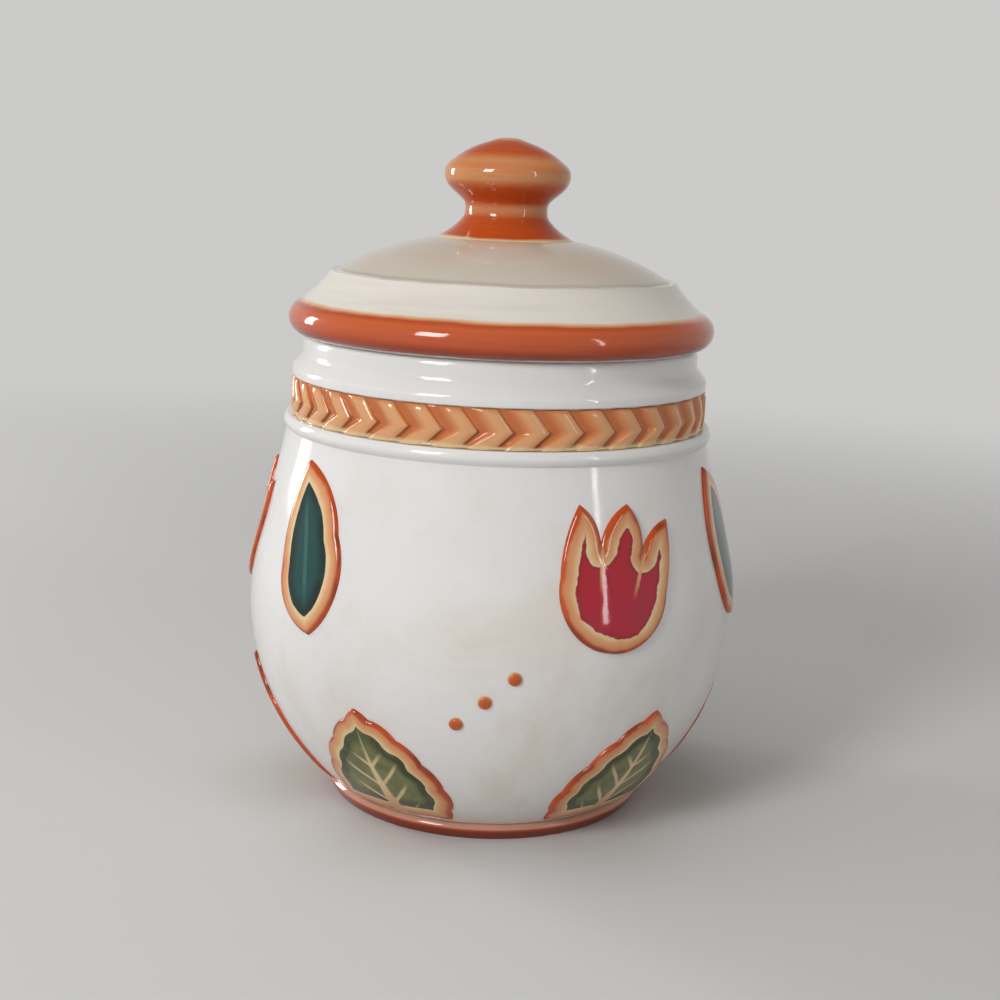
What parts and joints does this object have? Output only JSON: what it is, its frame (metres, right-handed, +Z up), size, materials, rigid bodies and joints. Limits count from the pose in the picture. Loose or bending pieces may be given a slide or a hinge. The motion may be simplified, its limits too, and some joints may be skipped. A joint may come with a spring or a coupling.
{
  "type": "porcelain jar",
  "caption": "Round-bellied glazed porcelain storage jar on a foot ring, with a moulded chevron band under its neck, raised flower ornaments and a loose domed lid with a turned knob.",
  "frame": {"origin": "middle of the standing face, on the surface that the jar stands on", "axes": "+Z up along the jar's axis of turning, -Y towards the viewer of the front, +X to the viewer's right"},
  "size_m": [0.1499, 0.1495, 0.2],
  "materials": {
    "white_glaze": "glossy warm white glaze with faint beige mottling",
    "cream_glaze": "glossy cream glaze with a brushed terracotta rim",
    "terracotta_glaze": "glossy brushed red-orange glaze",
    "ochre_glaze": "glossy tan glaze, darker in the hollows",
    "crimson_glaze": "glossy crimson glaze with an orange border",
    "teal_glaze": "glossy dark teal glaze with an orange border",
    "green_glaze": "glossy olive green glaze with an orange border"
  },
  "bodies": {
    "jar": {"jar_body": "white_glaze", "foot_ring": "terracotta_glaze", "chevron_band": "ochre_glaze", "bud_sprigs": "crimson_glaze", "long_leaf_sprigs": "teal_glaze", "base_leaf_sprigs": "green_glaze", "dot_sprigs": "terracotta_glaze"},
    "lid": {"lid_dome": "cream_glaze", "lid_collar": "white_glaze", "lid_knob": "terracotta_glaze"}
  },
  "joints": [
    {"name": "lid_lift", "type": "slide", "parent": "jar", "child": "lid", "axis": [0, 0, 1], "range_m": [0, 0.12]}
  ]
}
